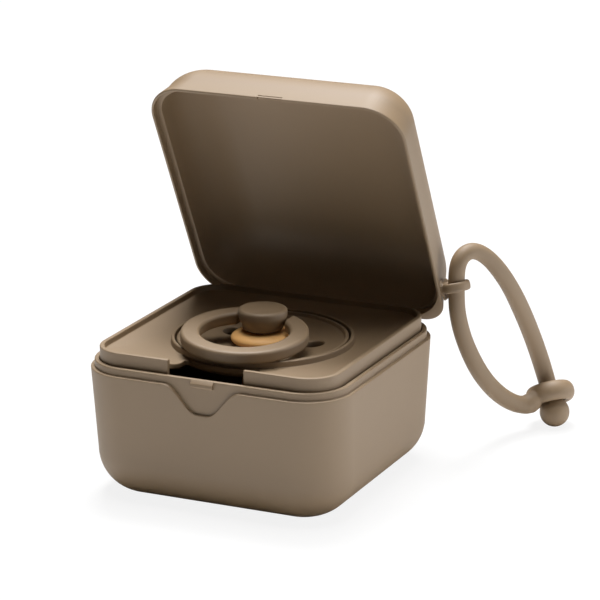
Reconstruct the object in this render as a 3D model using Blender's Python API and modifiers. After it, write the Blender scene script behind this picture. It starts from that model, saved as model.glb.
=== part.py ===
# A pacifier box with its lid open: a lower box, a hinged lid with a strap on its lug,
# a tray insert and one pacifier that lies in the tray's round collar.
# Metres, +Z up, +Y to the back. The origin is the middle of the box on the surface it stands on.

import math

import bmesh
import bpy
from mathutils import Matrix, Vector

MM = 0.001

# Fits and general values
GAP = 0.3 * MM
EDGE_ROUND = 0.3 * MM
OVERRUN = 2.0 * MM
WELD = 0.001 * MM
CORNER_STEPS = 8
FILLET_STEPS = 6
TURN_STEPS = 48
SHARP_ANGLE = math.radians(30)

# Lower box
BOX_WIDTH = 72.0 * MM
BOX_CORNER = 12.6 * MM
BOX_DRAFT = 0.8 * MM
BOX_WALL = 2.2 * MM
STEP_HEIGHT = 33.9 * MM
FOOT_FILLET = 11.7 * MM
FOOT_CORNER = 1.9 * MM

# Rim band above the step
BAND_INSET = 1.0 * MM
BAND_HEIGHT = 2.0 * MM
BAND_WALL = 1.25 * MM

# Shelf inside the box that carries the tray
SHELF_DROP = 5.2 * MM
SHELF_WIDTH = 1.3 * MM
SHELF_THICKNESS = 1.2 * MM

# Thumb recess in the front, and the catch above it
RECESS_DROP = 7.0 * MM
RECESS_WIDTH = 20.8 * MM
RECESS_FLAT = 2.6 * MM
RECESS_SHY = 0.05 * MM
RECESS_STEPS = 28
CATCH_WIDTH = 6.2 * MM
CATCH_HEIGHT = 1.8 * MM
CATCH_DROP = 0.4 * MM
CATCH_PROUD = 0.5 * MM
CATCH_TOP_PROUD = 0.1 * MM
CATCH_WEB = 0.8 * MM

# Lid
LID_OPEN = math.radians(63.3)
LID_SEAM = 0.2 * MM
LID_HEIGHT = 18.5 * MM
LID_CORNER = 10.4 * MM
LID_DRAFT = 1.1 * MM
LID_WALL = 2.2 * MM
LID_INNER_DRAFT = 0.3 * MM
LID_CROWN = 13.2 * MM
LID_TOP_CORNER = 2.1 * MM
LID_INNER_CORNER = 8.6 * MM
LIP_WIDTH = 0.7 * MM
LIP_HEIGHT = 2.3 * MM

# Hinge behind the box
HINGE_BEHIND = 1.1 * MM
HINGE_BELOW_RIM = 0.6 * MM
KNUCKLE_RADIUS = 2.1 * MM
KNUCKLE_LENGTH = 14.0 * MM
LID_KNUCKLE_LENGTH = 10.0 * MM
KNUCKLE_STEPS = 32
KNUCKLE_GAP = 0.5 * MM
KNUCKLE_ROOM = 0.35 * MM
ARM_INSET = 0.25 * MM
ARM_LIFT = 0.15 * MM
ARM_RISE = 2.6 * MM
ARM_DEPTH = 1.3 * MM
PIN_RADIUS = 0.75 * MM

# Lug for the strap, on the lid's right wall
LUG_OUT = 3.42 * MM
LUG_FROM_BACK = 10.8 * MM
LUG_ABOVE_RIM = 3.05 * MM
LUG_TILT = math.radians(26.7)
LUG_THICKNESS = 3.1 * MM
LUG_WALL = 1.25 * MM
LUG_EDGE = 0.8 * MM
LUG_ROOT_RADIUS = 2.6 * MM
LUG_ROOT_TIP = 1.7 * MM
LUG_ROOT_SUNK = 0.5 * MM
LUG_CLEARANCE = 0.3 * MM

# Tray insert
TRAY_CLEARANCE = 0.35 * MM
TRAY_DRAFT = 0.2 * MM
TRAY_STAND = 3.45 * MM
TRAY_FOOT_CORNER = 9.7 * MM
TRAY_CORNER = 8.6 * MM
TRAY_RIM = 1.2 * MM
TRAY_RIM_SLOPE = 0.2 * MM
TRAY_SINK = 1.35 * MM
TRAY_DISH = 1.6 * MM
TRAY_PLATE = 1.3 * MM
# Dish of the tray's top, from the rim to the collar: share of the way in, of the corner's
# growth to a full round, and of the fall
TRAY_DISH_SHARES = ((0.3, 0.12, 0.42), (0.6, 0.4, 0.76), (0.85, 0.75, 0.95))
COLLAR_WALL = 0.95 * MM
COLLAR_HEIGHT = 1.5 * MM
COLLAR_FLARE = 0.2 * MM
COLLAR_STRIP = 0.55 * MM
SEAT_WIDTH = 2.0 * MM
SEAT_THICKNESS = 1.2 * MM
SEAT_SLANT = 0.6 * MM
NOTCH_WIDTH = 21.0 * MM
NOTCH_CORNER = 1.6 * MM
NOTCH_STEPS = 12

# Pacifier shield, which lies in the collar
SHIELD_RADIUS = 22.3 * MM
SHIELD_RIM_WIDTH = 1.3 * MM
SHIELD_RIM_RISE = 0.75 * MM
SHIELD_BELOW_LIP = 0.3 * MM
SHIELD_RIM_HEIGHT = 2.7 * MM
SHIELD_DISH = 2.0 * MM
SHIELD_DISH_POWER = 2.6
SHIELD_THICKNESS = 2.0 * MM
SHIELD_HOLE = 5.5 * MM
SHIELD_DISH_STEPS = 6
SHIELD_EDGE = 0.4 * MM
VENT_RADIUS = 2.6 * MM
VENT_OUT = 13.3 * MM
VENT_ANGLE = math.radians(65.6)
SHIELD_TURN = math.radians(-3.6)

# Latex teat
TEAT_BULGE_RADIUS = 8.3 * MM
TEAT_TOP_RADIUS = 4.2 * MM
TEAT_BELOW_KNOB = 0.5 * MM
TEAT_WALL = 1.3 * MM
TEAT_BULB_RADIUS = 8.0 * MM
TEAT_NECK_LENGTH = 4.0 * MM
TEAT_ABOVE_FLOOR = 4.35 * MM
TEAT_BULB_SHARE = 0.72
TEAT_STEPS = 7

# Knob
KNOB_RADIUS = 6.4 * MM
KNOB_WAIST = 5.3 * MM
KNOB_HEIGHT = 5.4 * MM
KNOB_ABOVE_LIP = 7.1 * MM
KNOB_EDGE = 0.6 * MM
KNOB_STEM_LENGTH = 6.6 * MM

# Ring handle
RING_INNER = 11.5 * MM
RING_OUTER = 16.4 * MM
RING_THICKNESS = 3.3 * MM
RING_EDGE = 0.9 * MM
RING_EDGE_STEPS = 3
RING_REACH = 12.45 * MM
RING_GAP = 13.4 * MM
RING_SLOPE = math.radians(3.5)
RING_LEAN = math.radians(2.0)
RING_AXIS_BACK = 1.8 * MM
RING_AXIS_BELOW_TOP = 3.55 * MM
PEG_RADIUS = 1.0 * MM
PEG_REACH = 3.0 * MM
PEG_SUNK = 1.2 * MM
RING_TURN_STEPS = 52

# Strap, from its eyelet round through the lug and the eyelet to its ball. The route is in
# millimetres from the back right corner of the box, at the height of its foot.
STRAP_DIAMETER = 4.7 * MM
STRAP_ROUTE = (
    (15.19, 23.40, 7.46),
    (13.52, 21.32, 7.67),
    (11.80, 19.00, 8.85),
    (10.02, 16.18, 11.06),
    (8.43, 13.09, 14.10),
    (7.09, 10.01, 17.74),
    (5.99, 7.07, 21.87),
    (5.09, 4.27, 26.47),
    (4.39, 1.90, 31.09),
    (3.91, 0.25, 35.35),
    (3.58, -0.75, 39.55),
    (3.46, -1.00, 44.01),
    (3.43, -0.95, 48.86),
    (3.69, -0.53, 51.72),
    (4.28, 0.45, 53.54),
    (5.14, 1.96, 54.50),
    (6.14, 3.73, 54.54),
    (7.38, 5.88, 53.55),
    (8.84, 8.41, 51.38),
    (10.24, 11.20, 48.16),
    (11.37, 14.39, 44.22),
    (12.18, 17.86, 39.79),
    (12.79, 21.62, 34.75),
    (13.32, 25.00, 29.89),
    (13.90, 27.77, 25.25),
    (14.56, 29.85, 20.93),
    (15.33, 31.15, 17.08),
    (16.21, 31.58, 13.86),
    (17.34, 31.24, 10.80),
    (18.62, 30.18, 7.99),
)
STRAP_POINTS_PER_SPAN = 2
EYELET_WALL = 4.0 * MM
EYELET_HEIGHT = 5.4 * MM
EYELET_CLEARANCE = 0.35 * MM
EYELET_SECTION_STEPS = 12
BALL_RADIUS = 4.05 * MM
BALL_IN_EYELET = 1.0 * MM

# Places that follow from the sizes
BOX_HALF = BOX_WIDTH / 2
BAND_HALF = BOX_HALF - BAND_INSET
BAND_CORNER = BOX_CORNER - BAND_INSET
BAND_TOP = STEP_HEIGHT + BAND_HEIGHT
BAND_INNER = BAND_HALF - BAND_WALL
SHELF_TOP = BAND_TOP - SHELF_DROP
RIM_PLANE = STEP_HEIGHT + LID_SEAM
HINGE_Y = BOX_HALF + HINGE_BEHIND
HINGE_Z = RIM_PLANE - HINGE_BELOW_RIM
KNUCKLE_CUT = KNUCKLE_RADIUS + GAP
LUG_HOLE = STRAP_DIAMETER / 2 + LUG_CLEARANCE
TRAY_HALF = BAND_INNER - TRAY_CLEARANCE
TRAY_TOP = BAND_TOP + TRAY_STAND
COLLAR_INNER = SHIELD_RADIUS + GAP
COLLAR_OUTER = COLLAR_INNER + COLLAR_WALL
COLLAR_FOOT = TRAY_TOP - TRAY_SINK - TRAY_DISH
COLLAR_TOP = COLLAR_FOOT + COLLAR_HEIGHT
SHIELD_TOP = COLLAR_TOP - SHIELD_BELOW_LIP
SHIELD_BOTTOM = SHIELD_TOP - SHIELD_RIM_HEIGHT
SHIELD_CENTRE = SHIELD_TOP - SHIELD_RIM_RISE - SHIELD_DISH
KNOB_TOP = COLLAR_TOP + KNOB_ABOVE_LIP
KNOB_BOTTOM = KNOB_TOP - KNOB_HEIGHT
TEAT_TOP = KNOB_BOTTOM - TEAT_BELOW_KNOB
TEAT_NECK = SHIELD_HOLE - GAP
TEAT_BORE = TEAT_NECK - TEAT_WALL
RING_AXIS_Z = KNOB_TOP - RING_AXIS_BELOW_TOP
EYELET_MIDDLE = STRAP_DIAMETER / 2 + EYELET_CLEARANCE + EYELET_WALL / 2

parts = None
cutters = None


def clear_scene():
    for obj in list(bpy.data.objects):
        bpy.data.objects.remove(obj, do_unlink=True)


def new_collection(name):
    collection = bpy.data.collections.new(name)
    bpy.context.scene.collection.children.link(collection)
    return collection


def new_material(name, color, roughness, metallic=0.0):
    material = bpy.data.materials.new(name)
    material.use_nodes = True
    shader = material.node_tree.nodes["Principled BSDF"]
    shader.inputs["Base Color"].default_value = (*color, 1.0)
    shader.inputs["Roughness"].default_value = roughness
    shader.inputs["Metallic"].default_value = metallic
    return material


def new_object(name, bm, collection=None):
    mesh = bpy.data.meshes.new(name)
    bm.to_mesh(mesh)
    bm.free()
    obj = bpy.data.objects.new(name, mesh)
    (collection or parts).objects.link(obj)
    return obj


def as_part(obj, material, parent=None):
    obj.data.materials.append(material)
    obj.data.shade_smooth()
    obj.data.set_sharp_from_angle(angle=SHARP_ANGLE)
    obj.parent = parent
    return obj


def as_cutter(obj, parent=None):
    obj.hide_render = True
    obj.display_type = "WIRE"
    obj.parent = parent
    return obj


def axis_empty(name, location, parent=None):
    empty = bpy.data.objects.new(name, None)
    parts.objects.link(empty)
    empty.location = location
    empty.parent = parent
    return empty


def boolean(obj, other, operation):
    modifier = obj.modifiers.new(other.name, "BOOLEAN")
    modifier.object = other
    modifier.operation = operation


# A square with round corners, anticlockwise from above. A corner as large as the half is a circle.
def round_square(half, corner, height):
    points = []
    for quarter in range(4):
        turn = Matrix.Rotation(math.tau * quarter / 4, 3, "Z")
        centre = Vector((half - corner, half - corner, height))
        for step in range(CORNER_STEPS + 1):
            angle = math.tau / 4 * step / CORNER_STEPS
            point = centre + corner * Vector((math.cos(angle), math.sin(angle), 0))
            points.append(turn @ point)
    return points


# A body lofted through sections of half width, corner radius and height.
# It is capped at both ends, or closed on itself where it is a ring.
def loft(name, sections, collection=None, closed=False):
    bm = bmesh.new()
    rings = []
    for half, corner, height in sections:
        rings.append([bm.verts.new(p) for p in round_square(half, corner, height)])
    pairs = list(zip(rings, rings[1:]))
    if closed:
        pairs.append((rings[-1], rings[0]))
    else:
        bm.faces.new(rings[0])
        bm.faces.new(rings[-1])
    count = len(rings[0])
    for lower, upper in pairs:
        for i in range(count):
            j = (i + 1) % count
            bm.faces.new((lower[i], lower[j], upper[j], upper[i]))
    bmesh.ops.remove_doubles(bm, verts=bm.verts, dist=WELD)
    bmesh.ops.recalc_face_normals(bm, faces=bm.faces)
    return new_object(name, bm, collection)


# A turned shape about Z from radius and height pairs, which run down the outer side.
def turned(name, profile, closed=False, steps=TURN_STEPS, collection=None):
    bm = bmesh.new()
    verts = [bm.verts.new((radius, 0, height)) for radius, height in profile]
    for a, b in zip(verts, verts[1:]):
        bm.edges.new((a, b))
    if closed:
        bm.edges.new((verts[-1], verts[0]))
    obj = new_object(name, bm, collection)
    screw = obj.modifiers.new("turn", "SCREW")
    screw.steps = steps
    screw.render_steps = steps
    screw.use_merge_vertices = True
    screw.merge_threshold = WELD
    screw.use_normal_calculate = False
    return obj


def box(name, low, high, collection=None):
    bm = bmesh.new()
    bmesh.ops.create_cube(bm, size=1)
    low, high = Vector(low), Vector(high)
    bmesh.ops.scale(bm, vec=high - low, verts=bm.verts)
    bmesh.ops.translate(bm, vec=(low + high) / 2, verts=bm.verts)
    return new_object(name, bm, collection)


# A cylinder, or a cone with another end radius, between two heights of its own Z axis.
def rod(name, radius, low, high, end_radius=None, collection=None):
    bm = bmesh.new()
    bmesh.ops.create_cone(
        bm,
        cap_ends=True,
        segments=KNUCKLE_STEPS,
        radius1=radius,
        radius2=radius if end_radius is None else end_radius,
        depth=high - low,
    )
    bmesh.ops.translate(bm, vec=(0, 0, (low + high) / 2), verts=bm.verts)
    return new_object(name, bm, collection)


def along_x(obj, location):
    obj.rotation_euler = (0, math.pi / 2, 0)
    obj.location = location
    return obj


# Sections of a quarter-round edge, from its narrow end out to the full half width.
def fillet(half, corner, narrow_corner, radius, height, upward):
    sections = []
    for step in range(FILLET_STEPS + 1):
        angle = math.tau / 4 * step / FILLET_STEPS
        inset = radius * (1 - math.sin(angle))
        rise = radius * (1 - math.cos(angle))
        share = 1 - inset / radius
        blended = narrow_corner + (corner - narrow_corner) * share
        sections.append((half - inset, blended, height + rise * upward))
    return sections


def base_sections():
    foot_half = BOX_HALF - BOX_DRAFT
    foot_corner = FOOT_CORNER + FOOT_FILLET
    inner_fillet = FOOT_FILLET - BOX_WALL
    inner_half = foot_half - BOX_WALL
    inner_corner = foot_corner - BOX_WALL
    shelf_inner = BAND_INNER - SHELF_WIDTH
    shelf_foot = SHELF_TOP - SHELF_THICKNESS
    band_inner_corner = BAND_CORNER - BAND_WALL
    outer = fillet(foot_half, foot_corner, FOOT_CORNER, FOOT_FILLET, 0, 1)
    outer += [
        (BOX_HALF, BOX_CORNER, STEP_HEIGHT - EDGE_ROUND),
        (BOX_HALF - EDGE_ROUND, BOX_CORNER - EDGE_ROUND, STEP_HEIGHT),
        (BAND_HALF, BAND_CORNER, STEP_HEIGHT),
        (BAND_HALF, BAND_CORNER, BAND_TOP - EDGE_ROUND),
        (BAND_HALF - EDGE_ROUND, BAND_CORNER - EDGE_ROUND, BAND_TOP),
    ]
    inner = fillet(inner_half, inner_corner, FOOT_CORNER, inner_fillet, BOX_WALL, 1)
    inner += [
        (BAND_INNER - SHELF_THICKNESS / 2, inner_corner, shelf_foot - SHELF_WIDTH),
        (shelf_inner, band_inner_corner - SHELF_WIDTH, shelf_foot),
        (shelf_inner, band_inner_corner - SHELF_WIDTH, SHELF_TOP),
        (BAND_INNER, band_inner_corner, SHELF_TOP),
        (BAND_INNER, band_inner_corner, BAND_TOP),
    ]
    return outer + inner[::-1]


# The wave in the step edge: flat in the middle, then a cosine up to the step on each side.
def recess_outline():
    half, flat = RECESS_WIDTH / 2, RECESS_FLAT / 2
    front = -BOX_HALF - OVERRUN - RECESS_SHY
    outline = []
    for step in range(RECESS_STEPS + 1):
        x = half * (2 * step / RECESS_STEPS - 1)
        way = max(abs(x) - flat, 0) / (half - flat)
        drop = RECESS_DROP * (1 + math.cos(math.pi * way)) / 2
        outline.append((x, front, STEP_HEIGHT - drop))
    outline.append((half, front, STEP_HEIGHT + OVERRUN))
    outline.append((-half, front, STEP_HEIGHT + OVERRUN))
    return outline


# A prism between two ends, whose outline is a list of points on the first end.
def prism(name, outline, along):
    bm = bmesh.new()
    face = bm.faces.new([bm.verts.new(point) for point in outline])
    made = bmesh.ops.extrude_face_region(bm, geom=[face])
    moved = [v for v in made["geom"] if isinstance(v, bmesh.types.BMVert)]
    bmesh.ops.translate(bm, vec=along, verts=moved)
    bmesh.ops.recalc_face_normals(bm, faces=bm.faces)
    return new_object(name, bm, cutters)


# The catch is a wedge that stands out most at its foot. Extra makes the pocket for it.
def catch_wedge(name, extra, foot, rim):
    half = CATCH_WIDTH / 2 + extra
    top = BAND_TOP - CATCH_DROP + extra
    back = CATCH_WEB - BAND_HALF
    outline = [
        (-half, back, foot - rim),
        (-half, -BAND_HALF - CATCH_PROUD - extra, foot - rim),
        (-half, -BAND_HALF - CATCH_TOP_PROUD - extra, top - rim),
        (-half, back, top - rim),
    ]
    return prism(name, outline, (2 * half, 0, 0))


def knuckle_spans():
    inner = KNUCKLE_LENGTH / 2 + KNUCKLE_GAP
    outer = inner + LID_KNUCKLE_LENGTH
    return ((-outer, -inner), (inner, outer))


def build_base(material):
    base = as_part(loft("base_shell", base_sections()), material)
    recess = prism("recess_cutter", recess_outline(), (0, BOX_HALF - BAND_HALF + OVERRUN, 0))
    boolean(base, as_cutter(recess), "DIFFERENCE")

    catch = catch_wedge("catch_bump", 0, BAND_TOP - CATCH_DROP - CATCH_HEIGHT, 0)
    boolean(base, as_cutter(catch), "UNION")

    half = KNUCKLE_LENGTH / 2
    gusset_low = (ARM_INSET - half, BAND_HALF, HINGE_Z - KNUCKLE_RADIUS)
    gusset_high = (half - ARM_INSET, HINGE_Y, HINGE_Z)
    gusset = box("base_gusset", gusset_low, gusset_high, cutters)
    boolean(base, as_cutter(gusset), "UNION")
    knuckle = rod("base_knuckle", KNUCKLE_RADIUS, -half, half, collection=cutters)
    boolean(base, as_cutter(along_x(knuckle, (0, HINGE_Y, HINGE_Z))), "UNION")
    for index, (low, high) in enumerate(knuckle_spans()):
        name = f"lid_knuckle_room_{index + 1}"
        low, high = low - KNUCKLE_ROOM, high + KNUCKLE_ROOM
        room = rod(name, KNUCKLE_CUT, low, high, collection=cutters)
        boolean(base, as_cutter(along_x(room, (0, HINGE_Y, HINGE_Z))), "DIFFERENCE")
    reach = half + OVERRUN
    bore = rod("base_pin_bore", PIN_RADIUS + GAP, -reach, reach, collection=cutters)
    boolean(base, as_cutter(along_x(bore, (0, HINGE_Y, HINGE_Z))), "DIFFERENCE")
    return base


def build_pin(material):
    reach = knuckle_spans()[1][1]
    pin = as_part(rod("hinge_pin", PIN_RADIUS, -reach, reach), material)
    return along_x(pin, (0, HINGE_Y, HINGE_Z))


# Heights are from the rim plane, with the lid's crown up.
def lid_sections():
    crown_half = BOX_HALF - LID_DRAFT
    inner_half = BOX_HALF - LID_WALL - LID_INNER_DRAFT
    inner_crown = LID_CROWN - LID_WALL
    ceiling = LID_HEIGHT - LID_WALL
    outer = fillet(crown_half, LID_CORNER, LID_TOP_CORNER, LID_CROWN, LID_HEIGHT, -1)
    outer += [
        (BOX_HALF, LID_CORNER, EDGE_ROUND),
        (BOX_HALF - EDGE_ROUND, LID_CORNER - EDGE_ROUND, 0),
        (BOX_HALF - LIP_WIDTH, LID_CORNER - LIP_WIDTH, 0),
        (BOX_HALF - LIP_WIDTH, LID_CORNER - LIP_WIDTH, LIP_HEIGHT),
        (BOX_HALF - LID_WALL, LID_INNER_CORNER, LIP_HEIGHT),
    ]
    inner = fillet(inner_half, LID_INNER_CORNER, LID_TOP_CORNER, inner_crown, ceiling, -1)
    return outer + inner[::-1]


def add_lug(lid):
    centre = Vector((BOX_HALF + LUG_OUT, BOX_HALF - LUG_FROM_BACK, LUG_ABOVE_RIM))
    half = LUG_THICKNESS / 2
    outer = LUG_HOLE + LUG_WALL
    turn = (math.pi / 2 - LUG_TILT, 0, 0)

    ring = rod("lug_ring", outer, -half, half, collection=cutters)
    bevel = ring.modifiers.new("round", "BEVEL")
    bevel.width = LUG_EDGE
    bevel.segments = 2
    bevel.limit_method = "ANGLE"
    bevel.angle_limit = math.pi / 3
    ring.location = centre
    ring.rotation_euler = turn
    boolean(lid, as_cutter(ring, lid), "UNION")

    root_length = LUG_OUT + LUG_ROOT_SUNK
    root = rod("lug_root", LUG_ROOT_RADIUS, 0, root_length, LUG_ROOT_TIP, cutters)
    along_x(root, (BOX_HALF - LUG_ROOT_SUNK, BOX_HALF - LUG_FROM_BACK, LUG_ABOVE_RIM))
    boolean(lid, as_cutter(root, lid), "UNION")

    reach = outer + OVERRUN
    hole = rod("lug_hole", LUG_HOLE, -reach, reach, collection=cutters)
    hole.location = centre
    hole.rotation_euler = turn
    boolean(lid, as_cutter(hole, lid), "DIFFERENCE")


def add_lid_hinge(lid):
    axis = (0, HINGE_Y, -HINGE_BELOW_RIM)
    half = KNUCKLE_LENGTH / 2 + KNUCKLE_ROOM
    room = rod("base_knuckle_room", KNUCKLE_CUT, -half, half, collection=cutters)
    boolean(lid, as_cutter(along_x(room, axis), lid), "DIFFERENCE")
    arm_front = BOX_HALF - LIP_WIDTH + EDGE_ROUND / 2
    for index, (low, high) in enumerate(knuckle_spans()):
        arm_low = (low + ARM_INSET, arm_front, ARM_LIFT)
        arm_high = (high - ARM_INSET, HINGE_Y + ARM_DEPTH, ARM_RISE)
        arm = box(f"lid_arm_{index + 1}", arm_low, arm_high, cutters)
        boolean(lid, as_cutter(arm, lid), "UNION")
        name = f"lid_knuckle_{index + 1}"
        knuckle = rod(name, KNUCKLE_RADIUS, low, high, collection=cutters)
        boolean(lid, as_cutter(along_x(knuckle, axis), lid), "UNION")
    reach = knuckle_spans()[1][1] + OVERRUN
    bore = rod("lid_pin_bore", PIN_RADIUS + GAP, -reach, reach, collection=cutters)
    boolean(lid, as_cutter(along_x(bore, axis), lid), "DIFFERENCE")


def build_lid(material, hinge):
    lid = as_part(loft("lid_shell", lid_sections()), material, hinge)
    lid.location = (0, -HINGE_Y, HINGE_BELOW_RIM)
    pocket = catch_wedge("catch_pocket", GAP, RIM_PLANE - EDGE_ROUND, RIM_PLANE)
    boolean(lid, as_cutter(pocket, lid), "DIFFERENCE")
    add_lid_hinge(lid)
    add_lug(lid)
    return lid


def tray_sections():
    skirt_foot = SHELF_TOP + GAP
    top_half = TRAY_HALF - TRAY_DRAFT
    rim_inner = top_half - TRAY_RIM
    sunk_half = rim_inner - TRAY_RIM_SLOPE
    sunk = TRAY_TOP - TRAY_SINK
    rim_corner = TRAY_CORNER - TRAY_RIM
    strip = COLLAR_OUTER + COLLAR_FLARE + COLLAR_STRIP
    seat = SHIELD_BOTTOM - GAP
    seat_inner = COLLAR_INNER - SEAT_WIDTH
    seat_outer = COLLAR_INNER - SEAT_SLANT
    well_outer = COLLAR_OUTER + COLLAR_FLARE
    dish = []
    for inward, rounding, fall in TRAY_DISH_SHARES:
        half = sunk_half + (strip - sunk_half) * inward
        corner = rim_corner + (strip - rim_corner) * rounding
        dish.append((half, corner, sunk - TRAY_DISH * fall))
    underside = [(half, corner, height - TRAY_PLATE) for half, corner, height in dish]
    outside = [
        (TRAY_HALF, TRAY_FOOT_CORNER, skirt_foot),
        (top_half, TRAY_CORNER, TRAY_TOP - EDGE_ROUND),
        (top_half - EDGE_ROUND, TRAY_CORNER - EDGE_ROUND, TRAY_TOP),
        (rim_inner, rim_corner, TRAY_TOP),
        (sunk_half, rim_corner, sunk),
    ]
    collar = [
        (strip, strip, COLLAR_FOOT),
        (well_outer, well_outer, COLLAR_FOOT),
        (COLLAR_OUTER, COLLAR_OUTER, COLLAR_TOP - EDGE_ROUND),
        (COLLAR_OUTER - EDGE_ROUND, COLLAR_OUTER - EDGE_ROUND, COLLAR_TOP),
        (COLLAR_INNER, COLLAR_INNER, COLLAR_TOP),
        (COLLAR_INNER, COLLAR_INNER, seat),
        (seat_inner, seat_inner, seat),
        (seat_inner, seat_inner, seat - SEAT_THICKNESS),
        (seat_outer, seat_outer, seat - SEAT_THICKNESS),
        (strip, strip, COLLAR_FOOT - TRAY_PLATE),
    ]
    skirt_corner = TRAY_FOOT_CORNER - TRAY_RIM
    inside = [
        (rim_inner, rim_corner, sunk - TRAY_PLATE),
        (TRAY_HALF - TRAY_RIM, skirt_corner, skirt_foot),
    ]
    return outside + dish + collar + underside[::-1] + inside


# The notch in the tray's front: straight sides, and a back that follows the collar.
def notch_cutter():
    half = NOTCH_WIDTH / 2
    back = COLLAR_OUTER + COLLAR_FLARE + COLLAR_STRIP
    front = -TRAY_HALF - OVERRUN
    low, high = SHELF_TOP - OVERRUN, TRAY_TOP + OVERRUN
    start = math.asin(half / back)
    outline = [(half, front), (-half, front)]
    for step in range(NOTCH_STEPS + 1):
        angle = start * (2 * step / NOTCH_STEPS - 1)
        outline.append((back * math.sin(angle), -back * math.cos(angle)))
    outline = [(x, y, low) for x, y in outline]
    cutter = prism("notch_cutter", outline, (0, 0, high - low))
    bm = bmesh.new()
    bm.from_mesh(cutter.data)
    corners = []
    for edge in bm.edges:
        a, b = edge.verts
        upright = abs(a.co.z - b.co.z) > WELD
        if upright and abs(abs(a.co.x) - half) < WELD and a.co.y > front + WELD:
            corners.append(edge)
    bmesh.ops.bevel(
        bm, geom=corners, offset=NOTCH_CORNER, offset_type="OFFSET", segments=4,
        profile=0.5, affect="EDGES", clamp_overlap=True,
    )
    bm.to_mesh(cutter.data)
    bm.free()
    return cutter


def build_tray(material):
    tray = as_part(loft("tray_insert", tray_sections(), closed=True), material)
    boolean(tray, as_cutter(notch_cutter()), "DIFFERENCE")
    return tray


def dish_height(radius):
    way = radius / (SHIELD_RADIUS - SHIELD_RIM_WIDTH)
    return SHIELD_CENTRE + SHIELD_DISH * way**SHIELD_DISH_POWER


def shield_profile():
    rim_inner = SHIELD_RADIUS - SHIELD_RIM_WIDTH
    seat_inner = COLLAR_INNER - SEAT_WIDTH - GAP
    profile = [
        (SHIELD_RADIUS - SHIELD_EDGE, SHIELD_TOP),
        (SHIELD_RADIUS, SHIELD_TOP - SHIELD_EDGE),
        (SHIELD_RADIUS, SHIELD_BOTTOM + SHIELD_EDGE),
        (SHIELD_RADIUS - SHIELD_EDGE, SHIELD_BOTTOM),
        (seat_inner, SHIELD_BOTTOM),
    ]
    span = seat_inner - SHIELD_HOLE
    for step in range(SHIELD_DISH_STEPS + 1):
        radius = seat_inner - span * step / SHIELD_DISH_STEPS
        profile.append((radius, dish_height(radius) - SHIELD_THICKNESS))
    span = rim_inner - SHIELD_HOLE
    for step in range(SHIELD_DISH_STEPS + 1):
        radius = SHIELD_HOLE + span * step / SHIELD_DISH_STEPS
        profile.append((radius, dish_height(radius)))
    profile.append((rim_inner + SHIELD_EDGE, SHIELD_TOP))
    return profile


def build_shield(material, axis):
    shield = turned("pacifier_shield", shield_profile(), closed=True)
    as_part(shield, material, axis)
    for side in (-1, 1):
        name = "vent_right" if side > 0 else "vent_left"
        low = SHIELD_CENTRE - SHIELD_THICKNESS - OVERRUN
        vent = rod(name, VENT_RADIUS, low, SHIELD_TOP + OVERRUN, collection=cutters)
        turn = SHIELD_TURN - side * VENT_ANGLE
        vent.location = (-VENT_OUT * math.sin(turn), VENT_OUT * math.cos(turn), 0)
        boolean(shield, as_cutter(vent, axis), "DIFFERENCE")
    return shield


# The teat: a hollow latex bag, its bulge above the shield, its neck in the shield's hole
# and its bulb below. The outer side and the inner side come from one profile.
def teat_profile():
    top_face = dish_height(TEAT_BULGE_RADIUS) + GAP
    underside = SHIELD_CENTRE - SHIELD_THICKNESS - GAP
    bulb = TEAT_BULB_RADIUS
    tip = BOX_WALL + TEAT_ABOVE_FLOOR
    bulb_centre = tip + bulb
    neck_end = underside - TEAT_NECK_LENGTH
    outer = []
    for step in range(TEAT_STEPS + 1):
        angle = math.pi * step / TEAT_STEPS
        middle = (TEAT_TOP + top_face) / 2
        radius = TEAT_TOP_RADIUS + (TEAT_BULGE_RADIUS - TEAT_TOP_RADIUS) * math.sin(angle)
        outer.append((radius, middle + (TEAT_TOP - middle) * math.cos(angle)))
    outer.append((TEAT_NECK, top_face))
    outer.append((TEAT_NECK, neck_end))
    inner = [(TEAT_BORE, TEAT_TOP), (TEAT_BORE, neck_end)]
    for step in range(TEAT_STEPS + 1):
        angle = math.pi * TEAT_BULB_SHARE * (TEAT_STEPS - step) / TEAT_STEPS
        outer.append((bulb * math.sin(angle), bulb_centre - bulb * math.cos(angle)))
        small = bulb - TEAT_WALL
        inner.append((small * math.sin(angle), bulb_centre - small * math.cos(angle)))
    return inner[::-1] + outer


def build_teat(material, axis):
    return as_part(turned("pacifier_nipple", teat_profile(), steps=32), material, axis)


def build_knob(material, axis):
    stem = TEAT_BORE - GAP
    profile = [
        (0, KNOB_TOP),
        (KNOB_RADIUS - KNOB_EDGE, KNOB_TOP),
        (KNOB_RADIUS, KNOB_TOP - KNOB_EDGE),
        (KNOB_RADIUS, KNOB_TOP - 2 * KNOB_EDGE),
        (KNOB_WAIST, KNOB_BOTTOM + KNOB_EDGE),
        (KNOB_WAIST - KNOB_EDGE, KNOB_BOTTOM),
        (stem, KNOB_BOTTOM),
        (stem, KNOB_BOTTOM - KNOB_STEM_LENGTH),
        (0, KNOB_BOTTOM - KNOB_STEM_LENGTH),
    ]
    knob = as_part(turned("pacifier_knob", profile, steps=32), material, axis)
    reach = KNOB_RADIUS + OVERRUN
    bore = rod("peg_bore", PEG_RADIUS + GAP, -reach, reach, collection=cutters)
    along_x(bore, (0, RING_AXIS_BACK, RING_AXIS_Z))
    boolean(knob, as_cutter(bore, axis), "DIFFERENCE")
    return knob


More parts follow.
